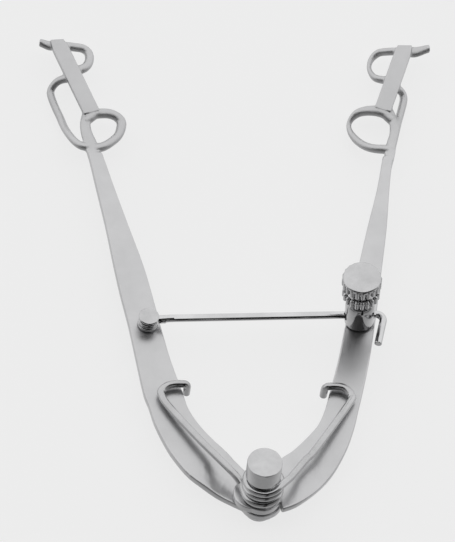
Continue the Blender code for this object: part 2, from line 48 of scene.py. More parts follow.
# The places and sizes of the part's source, in millimetres
ARM_TOP = 3.1
ROD_LEVEL = 4.75
EYE_MIDDLE = 4.3
STUD_AT = (-13.4, 26.73)
BLOCK_AT = (14.35, 27.9)
BLOCK_LEAN = 4
CAP_BOTTOM = 8.154
COIL_BOTTOM = 4.5
COIL_TOP = 7.354
COIL_FROM, COIL_TO = math.radians(197), math.radians(1045)
COIL_RADIUS = 2.3
WIRE_RADIUS = 0.5
ROD_RADIUS = 0.5
CAP_RADIUS, CAP_HEIGHT = 2.3, 3.1
# The rod's way from its stud to the block
REACH = math.dist(STUD_AT, BLOCK_AT)
HEADING = math.atan2(BLOCK_AT[1] - STUD_AT[1], BLOCK_AT[0] - STUD_AT[0])

# Points of a mesh that lie this close, in millimetres, are one point
MERGE_WITHIN = 0.003
PIECES = bpy.context.scene.collection


# ---------------------------------------------------------------- workbench

def clear_selection():
    if bpy.context.mode != "OBJECT":
        bpy.ops.object.mode_set(mode="OBJECT")
    bpy.ops.object.select_all(action="DESELECT")


def pick(*objs):
    clear_selection()
    for obj in objs:
        obj.select_set(True)
    bpy.context.view_layer.objects.active = objs[0]
    return objs[0]


def apply_modifier(obj, kind, **settings):
    pick(obj)
    made = obj.modifiers.new(kind.lower(), kind)
    for name, value in settings.items():
        setattr(made, name, value)
    bpy.ops.object.modifier_apply(modifier=made.name)


def close_skin(obj):
    """Merges what touches and turns every face outwards."""
    pick(obj)
    bpy.ops.object.mode_set(mode="EDIT")
    bpy.ops.mesh.select_all(action="SELECT")
    bpy.ops.mesh.remove_doubles(threshold=MERGE_WITHIN * MM)
    bpy.ops.mesh.normals_make_consistent(inside=False)
    bpy.ops.object.mode_set(mode="OBJECT")


def set_in_place(obj, at=(0, 0, 0), lean=0):
    """Moves a piece made at the origin to its place in millimetres, leaning by this many degrees."""
    obj.location = Vector(at) * MM
    obj.rotation_euler = (0, -math.radians(lean), 0)
    settle(obj)


def fit(obj, name, body, node, material, crease=35):
    """Names a finished piece and puts it on its body in place of the CAD solid."""
    obj.name = obj.data.name = name
    obj.data.materials.clear()
    obj.data.materials.append(material)
    pick(obj)
    bpy.ops.object.shade_smooth_by_angle(angle=math.radians(crease))
    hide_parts(node)
    if body:
        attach(obj, body)
    return obj


def turned(profile, sides=96):
    """A turned piece on the Z axis: a disc extruded through (radius, height) steps, from its foot up."""
    clear_selection()
    radius, level = profile[0]
    bpy.ops.mesh.primitive_circle_add(
        vertices=sides, radius=radius * MM, fill_type="NGON", location=(0, 0, level * MM)
    )
    obj = bpy.context.object
    bpy.ops.object.transform_apply(location=True)
    bpy.ops.object.mode_set(mode="EDIT")
    bpy.ops.mesh.select_all(action="SELECT")
    for new_radius, new_level in profile[1:]:
        bpy.ops.mesh.extrude_region_move(
            TRANSFORM_OT_translate={"value": (0, 0, (new_level - level) * MM)}
        )
        grow = new_radius / radius
        bpy.ops.transform.resize(value=(grow, grow, 1), center_override=(0, 0, new_level * MM))
        radius, level = new_radius, new_level
    bpy.ops.mesh.select_all(action="SELECT")
    bpy.ops.mesh.normals_make_consistent(inside=False)
    bpy.ops.object.mode_set(mode="OBJECT")
    return obj


def rounded(obj, width, segments, over):
    """Rounds the corners that turn by more than this many degrees, as a last cut or a file does."""
    apply_modifier(
        obj, "BEVEL", width=width * MM, segments=segments, limit_method="ANGLE",
        angle_limit=math.radians(over), use_clamp_overlap=True,
    )
    return obj


def cut(obj, cutter, operation="DIFFERENCE"):
    apply_modifier(obj, "BOOLEAN", object=cutter, operation=operation, solver="EXACT")
    bpy.data.objects.remove(cutter)
    return obj


def bore(radius, low, high, sides=64):
    clear_selection()
    bpy.ops.mesh.primitive_cylinder_add(
        vertices=sides, radius=radius * MM, depth=(high - low) * MM,
        location=(0, 0, (high + low) / 2 * MM),
    )
    return bpy.context.object


def settle(obj):
    """Puts a piece's place, turn and scale into its mesh."""
    pick(obj)
    bpy.ops.object.transform_apply(location=True, rotation=True, scale=True)


def through(points, steps):
    """Points on a smooth line that passes through the given ones."""
    ends = [points[0], *points, points[-1]]
    found = []
    for a, b, c, d in zip(ends, ends[1:], ends[2:], ends[3:]):
        a, b, c, d = map(Vector, (a, b, c, d))
        for k in range(steps):
            t = k / steps
            bend = a - 2.5 * b + 2 * c - d / 2 + t * (1.5 * (b - c) + (d - a) / 2)
            found.append(b + t * ((c - a) / 2 + t * bend))
    return found + [Vector(points[-1])]


def bent_wire(points, radius, end_round=0.2):
    """Round wire drawn through points in millimetres, with its two cut ends rounded."""
    clear_selection()
    bpy.ops.curve.primitive_nurbs_path_add()
    obj = bpy.context.object
    obj.location = (0, 0, 0)
    data = obj.data
    data.splines.clear()
    line = data.splines.new("POLY")
    line.points.add(len(points) - 1)
    for point, place in zip(line.points, points):
        point.co = (*(Vector(place) * MM), 1)
    data.bevel_depth = radius * MM
    data.bevel_resolution = 8
    data.use_fill_caps = True
    bpy.ops.object.convert(target="MESH")
    obj = bpy.context.object
    close_skin(obj)
    return rounded(obj, end_round, 3, 60)


# ---------------------------------------------------------------- materials

def colour(code):
    """An sRGB hex value as the linear colour that the shader takes."""
    parts = [int(code[i:i + 2], 16) / 255 for i in (1, 3, 5)]
    return (*[c / 12.92 if c <= 0.04045 else ((c + 0.055) / 1.055) ** 2.4 for c in parts], 1)


def add(tree, kind, settings=None, values=None, links=None):
    """One node, with its settings, its sockets' values and what is linked into it."""
    made = tree.nodes.new(kind)
    for name, value in (settings or {}).items():
        setattr(made, name, value)
    for socket, value in (values or {}).items():
        made.inputs[socket].default_value = value
    for socket, source in (links or {}).items():
        tree.links.new(source, made.inputs[socket])
    return made


# How high a finish's lines stand, and where its cloud pattern is darkest and lightest
RELIEF = 0.02 * MM
DARKEST_AT, LIGHTEST_AT = 0.35, 0.65
# A wave node's rings lie this many units apart at scale 1
RING_PITCH = 0.314


def steel(name, dark, light, cloud_mm, smooth_at, rough_at, grain_mm, grain_stretch, bump,
          axis=None, rings_mm=None, dull_along=None):
    """Bare stainless steel, whose colour and gloss drift a little over cloud_mm, with lines of grain_mm.

    axis is a turned piece's axis: a point on it in millimetres, and its lean in degrees. dull_along is the
    stretch of the Y axis in millimetres over which the finish gets rougher, and by how much.
    """
    made = bpy.data.materials.new(name)
    made.use_nodes = True
    tree = made.node_tree
    shader = tree.nodes["Principled BSDF"]
    shader.inputs["Metallic"].default_value = 1.0
    place = add(tree, "ShaderNodeTexCoord").outputs["Object"]
    cloud = add(tree, "ShaderNodeTexNoise",
                values={"Scale": 1 / (cloud_mm * MM), "Detail": 4, "Roughness": 0.6},
                links={"Vector": place}).outputs["Fac"]
    tone = add(tree, "ShaderNodeValToRGB", links={"Fac": cloud})
    for stop, at, code in zip(tone.color_ramp.elements, (DARKEST_AT, LIGHTEST_AT), (dark, light)):
        stop.position, stop.color = at, colour(code)
    tree.links.new(tone.outputs["Color"], shader.inputs["Base Color"])

    centred = add(tree, "ShaderNodeMapping", links={"Vector": place})
    if axis:
        # A mapping of type TEXTURE takes its location off and turns back, so the axis stands at the origin
        point, lean = axis
        centred.vector_type = "TEXTURE"
        centred.inputs["Location"].default_value = [v * MM for v in point]
        centred.inputs["Rotation"].default_value = (0, -math.radians(lean), 0)
    laid = add(tree, "ShaderNodeMapping", values={"Scale": grain_stretch},
               links={"Vector": centred.outputs["Vector"]})
    grain = add(tree, "ShaderNodeTexNoise",
                values={"Scale": 1 / (grain_mm * MM), "Detail": 3, "Roughness": 0.55},
                links={"Vector": laid.outputs["Vector"]}).outputs["Fac"]
    lines = grain
    if rings_mm:
        rings = add(tree, "ShaderNodeTexWave",
                    {"wave_type": "RINGS", "rings_direction": "Z", "wave_profile": "SIN"},
                    {"Scale": RING_PITCH / (rings_mm * MM), "Distortion": 0.6, "Detail": 2.0,
                     "Detail Scale": 1.5},
                    {"Vector": centred.outputs["Vector"]}).outputs["Fac"]
        lines = add(tree, "ShaderNodeMath", {"operation": "MULTIPLY_ADD"}, {1: 0.5},
                    {0: rings, 2: grain}).outputs["Value"]

    gloss = add(tree, "ShaderNodeMath", {"operation": "MULTIPLY_ADD"}, {1: 0.35}, {0: grain, 2: cloud})
    finish = add(tree, "ShaderNodeMapRange",
                 values={"From Min": 0.45, "From Max": 0.95, "To Min": smooth_at, "To Max": rough_at},
                 links={"Value": gloss.outputs["Value"]}).outputs["Result"]
    if dull_along:
        start, end, rougher = dull_along
        along = add(tree, "ShaderNodeSeparateXYZ", links={"Vector": place}).outputs["Y"]
        tumbled = add(tree, "ShaderNodeMapRange", {"interpolation_type": "SMOOTHSTEP"},
                      {"From Min": start * MM, "From Max": end * MM, "To Max": rougher},
                      {"Value": along}).outputs["Result"]
        finish = add(tree, "ShaderNodeMath", links={0: finish, 1: tumbled}).outputs["Value"]
    tree.links.new(finish, shader.inputs["Roughness"])
    raised = add(tree, "ShaderNodeBump", values={"Strength": bump, "Distance": RELIEF},
                 links={"Height": lines})
    tree.links.new(raised.outputs["Normal"], shader.inputs["Normal"])
    return made


# Forged 420 stainless, belt-ground and then satin-polished along each arm: an even silvery grey that mirrors
# what stands on it softly, and is duller on the blades, which were only tumbled.
# The real polishing lines are about 0.02 mm apart, and are drawn at 0.15 mm to show.
satin_forging = steel(
    "satin_polished_forging", "#C2C2C3", "#CCCCCD", cloud_mm=7, smooth_at=0.27, rough_at=0.35,
    grain_mm=0.15, grain_stretch=(1, 0.12, 1), bump=0.2, dull_along=(51, 58, 0.14),
)
# Cold-drawn stainless spring wire: smoother than the arms, with faint draw marks along it.
drawn_wire = steel(
    "drawn_spring_wire", "#B8B8B9", "#C6C6C7", cloud_mm=4, smooth_at=0.18, rough_at=0.28,
    grain_mm=0.2, grain_stretch=(1, 0.4, 1), bump=0.15,
)
# Ground and buffed round rod: bright, with fine marks across it from the centreless grinding.
ground_rod = steel(
    "ground_rod", "#CCCCCD", "#DADADB", cloud_mm=5, smooth_at=0.1, rough_at=0.17,
    grain_mm=0.12, grain_stretch=(1, 0.3, 0.3), bump=0.15,
)
# Lathe-turned 303 stainless: faint rings about the axis and a soft gloss on the barrel, the cap and the stud.
# The real tool marks are finer, and are drawn 1.4 to 1.9 mm apart to show.
TURNED_RINGS = math.tau * 0.22
KNURL_RINGS = math.tau * 0.3
AXES = {"pivot": ((0, 0, 0), 0), "stud": ((*STUD_AT, 0), 0), "block": ((*BLOCK_AT, ROD_LEVEL), BLOCK_LEAN)}
turned_steel = {
    key: steel(
        "turned_steel_" + key, "#BFBFC0", "#CDCDCE", cloud_mm=3, smooth_at=0.1, rough_at=0.18,
        grain_mm=0.2, grain_stretch=(1, 1, 1), bump=0.12, axis=axis, rings_mm=TURNED_RINGS,
    )
    for key, axis in AXES.items()
}
# Rolled straight knurl: a little duller than the turned faces, because no tool cut it after the rolling.
knurled_steel = steel(
    "knurled_steel", "#BEBEBF", "#CACACB", cloud_mm=2, smooth_at=0.12, rough_at=0.22,
    grain_mm=0.2, grain_stretch=(1, 1, 1), bump=0.12, axis=AXES["block"], rings_mm=KNURL_RINGS,
)


# ---------------------------------------------------------------- arms

# Blade bands: x, y and width of each band's middle line, as in the part's source
LEFT, RIGHT = -1, 1
STRIP_FOOT = {LEFT: (19.05, 60.37), RIGHT: (19.58, 61.57)}
STRIP_TIP = {LEFT: (23.09, 71.77), RIGHT: (23.18, 71.91)}
# Where along the strip its width is given, as a share of its length, and that width
STRIP_WIDTHS = ((0, 2.2), (0.8, 2.2), (0.93, 2.05), (1.08, 1.4))
SPINE = {
    LEFT: (
        (19.1, 61.2, 2.0), (19.62, 60.2, 1.5), (19.95, 58.7, 1.45), (19.79, 57.1, 1.6),
        (19.4, 55.7, 1.8), (19.0, 53.6, 1.6),
    ),
    RIGHT: (
        (20.05, 62.3, 2.0), (20.72, 61.2, 1.6), (21.0, 59.8, 1.3), (20.88, 58.0, 1.2),
        (20.45, 56.2, 1.4), (20.0, 53.8, 1.25),
    ),
}
LOWER_RING = {
    LEFT: (
        (19.31, 59.8, 1.3), (18.62, 60.4, 1.3), (17.8, 60.6, 1.3), (16.72, 60.7, 1.3),
        (15.72, 60.4, 1.25), (15.1, 59.7, 1.25), (15.16, 58.7, 1.2), (15.66, 57.4, 1.1),
        (16.69, 56.2, 1.1), (17.68, 55.4, 1.15), (18.9, 54.9, 1.2),
    ),
    RIGHT: (
        (20.37, 60.8, 1.4), (19.86, 61.3, 1.4), (18.82, 61.7, 1.4), (17.54, 61.9, 1.3),
        (16.43, 61.8, 1.05), (15.62, 61.2, 0.75), (15.23, 60.4, 0.6), (15.31, 59.5, 0.7),
        (15.77, 58.4, 0.9), (16.44, 57.3, 1.0), (17.28, 56.4, 1.05), (18.4, 55.8, 1.1),
        (20.1, 55.5, 1.2),
    ),
}
UPPER_LOOP = {
    LEFT: (
        (22.3, 71.3, 1.1), (20.66, 71.25, 1.1), (19.58, 71.2, 1.1), (18.9, 70.6, 1.1),
        (18.82, 69.5, 1.1), (19.22, 68.4, 1.1), (19.94, 67.7, 1.15), (21.0, 67.3, 1.2),
    ),
    RIGHT: (
        (22.6, 71.3, 0.95), (20.84, 71.5, 0.95), (19.7, 71.55, 0.9), (18.81, 70.8, 0.7),
        (18.4, 69.5, 0.55), (18.61, 68.1, 0.7), (19.28, 67.1, 0.9), (20.9, 66.5, 1.0),
    ),
}
OUTER_LOOP = {
    LEFT: (
        (21.3, 66.1, 1.1), (22.78, 66.1, 1.05), (23.62, 65.7, 1.0), (24.07, 65.0, 0.95),
        (23.97, 64.1, 0.95), (23.46, 62.4, 0.95), (22.85, 60.6, 0.95), (22.3, 58.3, 0.95),
        (21.58, 56.5, 0.95), (20.6, 55.35, 1.0), (19.5, 55.1, 1.0),
    ),
    RIGHT: (
        (20.9, 65.5, 1.1), (21.96, 65.4, 1.1), (22.55, 65.0, 1.0), (22.68, 64.3, 1.0),
        (22.37, 63.0, 1.0), (21.83, 61.1, 1.0), (21.25, 58.8, 1.0), (20.8, 57.0, 1.0),
        (20.4, 55.5, 1.0),
    ),
}
TIP_STUB = {
    LEFT: (
        (22.66, 71.42, 1.0), (23.97, 71.5, 1.0), (25.4, 71.75, 0.75),
    ),
    RIGHT: (
        (22.67, 71.4, 1.1), (24.29, 71.45, 1.15), (26.4, 71.6, 0.75),
    ),
}
# The neck fades out inside the arm, on the middle of the arm's two edges
NECK_END = {LEFT: (18.4, 51.5, 1.9), RIGHT: (19.35, 51.5, 1.3)}
NECK_HEAD_WIDTH = 1.3
BLADE_LEVEL = ARM_TOP - 0.5
STRIP_TOP, STRIP_THICK = 3.275, 0.75
STRIP_END = 71.95
BLADE_FROM = {LEFT: 54.7, RIGHT: 55.2}

# The blade's curve: how far out it reaches and how much it drops there, on the strip's outer and inner side
OUTER_REACH, OUTER_DROP = {LEFT: 4.0, RIGHT: 3.0}, 2.1
INNER_REACH, INNER_DROP = 4.3, {LEFT: 0.7, RIGHT: 1.3}
# Below the strip's foot, the middle of that curve moves outwards by this much over this length
FOOT_SHIFT, FOOT_LENGTH = 0.8, 4
STUB_DIP, STUB_RISE = 0.3, {LEFT: 0.35, RIGHT: 0.65}

# The arm's chamfered edges: how steep their faces lie, how far they go, and how far a corner moves out
FLAT_FROM = 0.97
CHAMFER_FROM, CHAMFER_TO = 0.5, 0.9
EDGES_END, HUB_REACH = 53.5, 3.4
CORNER_OUT = 0.15

# A bar is never deeper than this share of its width, and its slope is taken over this half step
DEEPEST = 1.2
SLOPE_STEP = 0.1
OVAL = [(math.cos(math.tau * k / 20), math.sin(math.tau * k / 20)) for k in range(20)]
FLAT = [(1, 0.86), (0.93, 1), (-0.93, 1), (-1, 0.86), (-1, -1), (1, -1)]

ARM_VOXEL = 0.1
# Where the blade grows out of the arm, and the polishing wheel leaves no edge
ROOT_FROM, ROOT_TO = 52.6, 56.4


def ease(share):
    """A share from 0 to 1 that starts and ends gently."""
    return share * share * (3 - 2 * share)


def within(value):
    """Keeps a value between 0 and 1."""
    return min(max(value, 0), 1)


def square_edges(arm):
    """Brings the forging's chamfered arm edges back to the crisp corner that grinding the flats leaves."""
    pushed = {}
    faces = arm.data.polygons
    flat = {v for face in faces if abs(face.normal.z) > FLAT_FROM for v in face.vertices}
    for face in faces:
        chamfered = CHAMFER_FROM < abs(face.normal.z) < CHAMFER_TO
        if chamfered and face.center.y < EDGES_END * MM and face.center.length > HUB_REACH * MM:
            outwards = Vector((face.normal.x, face.normal.y, 0)).normalized()
            for v in set(face.vertices) & flat:
                pushed.setdefault(v, []).append(outwards)
    for v, ways in pushed.items():
        arm.data.vertices[v].co += sum(ways, Vector()).normalized() * CORNER_OUT * MM


def blade_height(side):
    """The blade's middle surface in millimetres, which curves down on both sides of its strip."""
    (x0, y0), (x1, y1) = STRIP_FOOT[side], STRIP_TIP[side]

    def height(x, y):
        middle = x0 + (x1 - x0) * max(y - y0, 0) / (y1 - y0)
        off = x - (middle + FOOT_SHIFT * ease(within((y0 - y) / FOOT_LENGTH)))
        if off > 0:
            return BLADE_LEVEL - OUTER_DROP * (off / OUTER_REACH[side]) ** 2
        return BLADE_LEVEL - INNER_DROP[side] * (off / INNER_REACH) ** 2
    return height


def stub_height(side):
    """The tip stub dips below the strip and then turns up at its end."""
    start, end = TIP_STUB[side][0][0], TIP_STUB[side][-1][0]

    def height(x, y):
        out = (x - start) / (end - start)
        dip, rise = ease(within(2 * out)), ease(within(2 * out - 1))
        return BLADE_LEVEL - STUB_DIP * dip + STUB_RISE[side] * rise
    return height


def strip_height(x, y):
    return STRIP_TOP - STRIP_THICK / 2


def swept_band(path, height, side, thick, section, spread=1):
    """A closed bar along a band's line: section is its outline, in shares of half its width and depth."""
    stations = through([(x, y, w) for x, y, w in path], 5)
    last = len(stations) - 1
    points, faces, around = [], [], len(section)
    for i, (x, y, width) in enumerate(stations):
        ahead = stations[min(i + 1, last)] - stations[max(i - 1, 0)]
        across = Vector((-ahead.y, ahead.x)).normalized()
        step = across * SLOPE_STEP
        slope = (height(x + step.x, y + step.y) - height(x - step.x, y - step.y)) / (2 * SLOPE_STEP)
        out = Vector((side * across.x, across.y, slope)).normalized()
        along = Vector((side * ahead.x, ahead.y, 0)).normalized()
        lift = out.cross(along).normalized()
        if lift.z < 0:
            lift = -lift
        middle = Vector((side * x, y, height(x, y)))
        wide = width * spread / 2
        deep = min(thick / 2, DEEPEST * wide)
        for a, b in section:
            points.append((middle + out * a * wide + lift * b * deep) * MM)
    for i in range(last):
        for k in range(around):
            n = (k + 1) % around
            here, beyond = i * around, (i + 1) * around
            faces.append((here + k, here + n, beyond + n, beyond + k))
    faces += [tuple(range(around)), tuple(range(last * around, (last + 1) * around))[::-1]]
    mesh = bpy.data.meshes.new("band")
    mesh.from_pydata(points, [], faces)
    obj = bpy.data.objects.new("band", mesh)
    PIECES.objects.link(obj)
    return obj


def trim_above(y):
    """Cuts what is picked straight across at this Y and closes the cut."""
    bpy.ops.object.mode_set(mode="EDIT")
    bpy.ops.mesh.select_all(action="SELECT")
    bpy.ops.mesh.bisect(plane_co=(0, y * MM, 0), plane_no=(0, 1, 0), use_fill=True, clear_outer=True)
    bpy.ops.object.mode_set(mode="OBJECT")


def blade_bars(side):
    """The blade's bars, drawn oval by the polishing wheel, and its flat strip."""
    height = blade_height(side)
    (x0, y0), (x1, y1) = STRIP_FOOT[side], STRIP_TIP[side]
    strip = [(x0 + (x1 - x0) * t, y0 + (y1 - y0) * t, width) for t, width in STRIP_WIDTHS]
    (head_x, head_y, _), *rest = SPINE[side]
    neck = ((head_x, head_y, NECK_HEAD_WIDTH), *rest, NECK_END[side])
    # The ring starts one step further back, inside the neck
    (start_x, start_y, start_width), (next_x, next_y, _), *_ = LOWER_RING[side]
    ring = ((2 * start_x - next_x, 2 * start_y - next_y, start_width), *LOWER_RING[side])
    return [
        swept_band(neck, height, side, 0.9, OVAL),
        swept_band(ring, height, side, 1.18, OVAL, 1.1),
        swept_band(UPPER_LOOP[side], height, side, 1.12, OVAL, 1.12),
        swept_band(OUTER_LOOP[side], height, side, 1.05, OVAL, 1.1),
        swept_band(TIP_STUB[side], stub_height(side), side, 1.05, OVAL, 1.4),
        swept_band(strip, strip_height, side, STRIP_THICK, FLAT),
    ]


def forged_arm(name, node, body, side):
    """The arm with crisp ground edges, and its blade worked from the same forging."""
    arm = bpy.data.objects.new(name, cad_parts[node].data.copy())
    PIECES.objects.link(arm)
    close_skin(arm)
    square_edges(arm)
    pick(arm)
    trim_above(BLADE_FROM[side])
    bars = blade_bars(side)
    for bar in bars:
        close_skin(bar)
    trim_above(STRIP_END)
    pick(arm, *bars)
    bpy.ops.object.join()
    apply_modifier(arm, "REMESH", mode="VOXEL", voxel_size=ARM_VOXEL * MM, use_smooth_shade=True)
    apply_modifier(arm, "SMOOTH", factor=0.5, iterations=2)
    wheeled = []
    for v in arm.data.vertices:
        below_strip = v.co.y > ROOT_TO * MM and v.co.z < ARM_TOP * MM
        if below_strip or ROOT_FROM < v.co.y / MM < ROOT_TO:
            wheeled.append(v.index)
    arm.vertex_groups.new(name="blade_root").add(wheeled, 1, "REPLACE")
    apply_modifier(arm, "SMOOTH", factor=0.5, iterations=14, vertex_group="blade_root")
    return fit(arm, name, body, node, satin_forging, 60)


forged_arm("left_arm_forging", "left_arm", "base", LEFT)
forged_arm("right_arm_forging", "right_arm", "right", RIGHT)


# ---------------------------------------------------------------- pivot

POST_RADIUS, POST_FOOT, POST_LEAN = 1.2, 0.6, 1.6
cap_top = CAP_BOTTOM + CAP_HEIGHT
post = rounded(turned((
    (POST_RADIUS, POST_FOOT), (POST_RADIUS, CAP_BOTTOM),
    (CAP_RADIUS - 0.15, CAP_BOTTOM), (CAP_RADIUS, CAP_BOTTOM + 0.2),
    (CAP_RADIUS, cap_top - 0.22), (CAP_RADIUS - 0.04, cap_top - 0.12), (CAP_RADIUS - 0.14, cap_top - 0.06),
    (1.6, cap_top - 0.02), (0.6, cap_top),
)), 0.06, 2, 40)
set_in_place(post, lean=POST_LEAN)
fit(post, "pivot_post_turned", "base", "pivot_post", turned_steel["pivot"])


def closed_nut(name, node, body, radius, bottom, top, pin_radius, at, lean, material):
    """A low round nut with a blind hole, its lower rim dished as it is left by the rivet set."""
    nut = turned((
        (radius - 0.55, bottom + 0.12), (radius - 0.5, bottom), (radius - 0.15, bottom),
        (radius, bottom + 0.15), (radius, top - 0.1), (radius - 0.1, top),
    ), 72)
    cut(nut, bore(pin_radius + 0.3, bottom + 0.3, top + 1))
    set_in_place(nut, at, lean)
    return fit(nut, name, body, node, material)


PIVOT_NUT_RADIUS, SMALL_NUT_RADIUS, SMALL_PIN_RADIUS = 1.9, 1.6, 0.6
SMALL_NUT_FOOT, SMALL_NUT_TOP = 0.8, 1.8
closed_nut("pivot_nut_turned", "pivot_nut", "base", PIVOT_NUT_RADIUS, 0, 1.0, POST_RADIUS,
           (0, 0, 0), 0, turned_steel["pivot"])
closed_nut("stud_nut_turned", "stud_nut", "base", SMALL_NUT_RADIUS, SMALL_NUT_FOOT, SMALL_NUT_TOP,
           SMALL_PIN_RADIUS, (*STUD_AT, 0), 0, turned_steel["stud"])
closed_nut("block_nut_turned", "block_nut", "block", SMALL_NUT_RADIUS, SMALL_NUT_FOOT - ROD_LEVEL,
           SMALL_NUT_TOP - ROD_LEVEL, SMALL_PIN_RADIUS, (*BLOCK_AT, ROD_LEVEL), BLOCK_LEAN,
           turned_steel["block"])


# ---------------------------------------------------------------- rod and its stud

# How far the stud's and the block's shoulders stand above the arm
ABOVE_ARM = 0.3
EYE_RADIUS, EYE_THICK, EYE_BORE = 1.35, 0.5, 0.9
shoulder = ARM_TOP + ABOVE_ARM
head = EYE_MIDDLE + EYE_THICK / 2 + 0.3
stud = rounded(turned((
    (SMALL_PIN_RADIUS, 1.4), (SMALL_PIN_RADIUS, shoulder),
    (EYE_RADIUS, shoulder), (EYE_RADIUS, shoulder + 0.35),
    (SMALL_PIN_RADIUS, shoulder + 0.35), (SMALL_PIN_RADIUS, head),
    (EYE_RADIUS, head), (EYE_RADIUS, head + 0.18), (EYE_RADIUS - 0.12, head + 0.3),
), 72), 0.05, 2, 40)
set_in_place(stud, (*STUD_AT, 0))
fit(stud, "rod_stud_turned", "base", "rod_stud", turned_steel["stud"])

# The rod runs this much above the bore's middle, so a minus is below it, and the eye lies lower still
ROD_RISE = -0.27
EYE_RISE = -0.45
# From the eye's end up to the rod's level
SWAN_NECK = ((0.95, 0, EYE_RISE), (1.5, 0, -0.42), (2.1, 0, -0.36), (2.8, 0, -0.29), (3.4, 0, ROD_RISE))
HOOK_PAST_BLOCK, HOOK_BEND, HOOK_TURN, HOOK_STEPS = 2.15, 0.9, math.radians(106), 24
HOOK_STRAIGHTS = (1.2, 3.7)
ROD_FLAT_FROM, ROD_FLAT_LEVEL = 3.3, 0.1
ROD_VOXEL = 0.07


def plate(middle, size):
    """A rectangular blank, with its middle and its size in millimetres."""
    clear_selection()
    bpy.ops.mesh.primitive_cube_add(
        size=1, location=[v * MM for v in middle], scale=[v * MM for v in size]
    )
    blank = bpy.context.object
    settle(blank)
    return blank


def rod_with_eye():
    """Ground rod, bent to a stop hook past the block and flattened into an eye at the stud.

    Its top is ground flat, where the screw's tip presses.
    """
    end = REACH + HOOK_PAST_BLOCK
    rod_line = through(SWAN_NECK, 6)
    rod_line += [(along, 0, ROD_RISE) for along in (REACH * 0.3, REACH * 0.6, end - 0.4)]
    for step in range(HOOK_STEPS + 1):
        turn = HOOK_TURN * step / HOOK_STEPS
        rod_line.append((end + HOOK_BEND * math.sin(turn), HOOK_BEND * (math.cos(turn) - 1), ROD_RISE))
    along, across, _ = rod_line[-1]
    for straight in HOOK_STRAIGHTS:
        rod_line.append((
            along + straight * math.cos(HOOK_TURN), across - straight * math.sin(HOOK_TURN), ROD_RISE,
        ))
    rod = bent_wire(rod_line, ROD_RADIUS, 0.22)
    eye = bore(EYE_RADIUS, EYE_RISE - EYE_THICK / 2, EYE_RISE + EYE_THICK / 2)
    settle(eye)
    neck = plate((1.5, 0, EYE_RISE), (1.5, 1.1, EYE_THICK))
    pick(rod, eye, neck)
    bpy.ops.object.join()
    apply_modifier(rod, "REMESH", mode="VOXEL", voxel_size=ROD_VOXEL * MM, use_smooth_shade=True)
    apply_modifier(rod, "SMOOTH", factor=0.5, iterations=4)
    cut(rod, bore(EYE_BORE, -2, 2))
    cut(rod, plate(((ROD_FLAT_FROM + end) / 2, 0, ROD_FLAT_LEVEL + 0.5), (end - ROD_FLAT_FROM, 2, 1)))
    rod.rotation_euler = (0, 0, HEADING)
    rod.location = Vector((*STUD_AT, ROD_LEVEL)) * MM
    settle(rod)
    return fit(rod, "cross_rod_ground", "rod", "cross_rod", ground_rod, 50)


rod_with_eye()


# ---------------------------------------------------------------- block and thumb screw

# Heights here are above the rod's level
BLOCK_FOOT, BLOCK_HEAD = ARM_TOP + ABOVE_ARM - ROD_LEVEL, ARM_TOP + 5.6 - ROD_LEVEL
BLOCK_RADIUS, CROSS_BORE, SCREW_BORE = 1.95, 0.8, 1.0
barrel = turned((
    (SMALL_PIN_RADIUS, -3.35), (SMALL_PIN_RADIUS, BLOCK_FOOT),
    (BLOCK_RADIUS - 0.07, BLOCK_FOOT), (BLOCK_RADIUS, BLOCK_FOOT + 0.08),
    (BLOCK_RADIUS, BLOCK_HEAD - 2.1), (BLOCK_RADIUS - 0.1, BLOCK_HEAD - 1.25),
    (BLOCK_RADIUS - 0.23, BLOCK_HEAD - 1.1),
))
cross_bore = bore(CROSS_BORE, -6, 6)
cross_bore.rotation_euler = (math.pi / 2, 0, HEADING + math.pi / 2)
settle(cross_bore)
cut(barrel, cross_bore)
cut(barrel, bore(SCREW_BORE, 0, BLOCK_HEAD + 1))
rounded(barrel, 0.07, 2, 50)
set_in_place(barrel, (*BLOCK_AT, ROD_LEVEL), BLOCK_LEAN)
fit(barrel, "swivel_block_turned", "block", "swivel_block", turned_steel["block"])

SCREW_TEETH = 20


def knurl_row(radius, tooth, low, high, crown):
    """One rounded tooth, spun about the axis into a row."""
    clear_selection()
    bpy.ops.mesh.primitive_cylinder_add(
        vertices=16, radius=tooth * MM, depth=(high - low) * MM,
        location=(0, (tooth - radius) * MM, (low + high) / 2 * MM),
    )
    row = bpy.context.object
    bpy.ops.object.transform_apply(location=True)
    rounded(row, crown, 4, 60)
    pick(row)
    bpy.ops.object.mode_set(mode="EDIT")
    bpy.ops.mesh.select_all(action="SELECT")
    bpy.ops.mesh.spin(
        steps=SCREW_TEETH - 1, dupli=True, angle=math.tau * (SCREW_TEETH - 1) / SCREW_TEETH,
        center=(0, 0, 0), axis=(0, 0, 1),
    )
    bpy.ops.object.mode_set(mode="OBJECT")
    return row


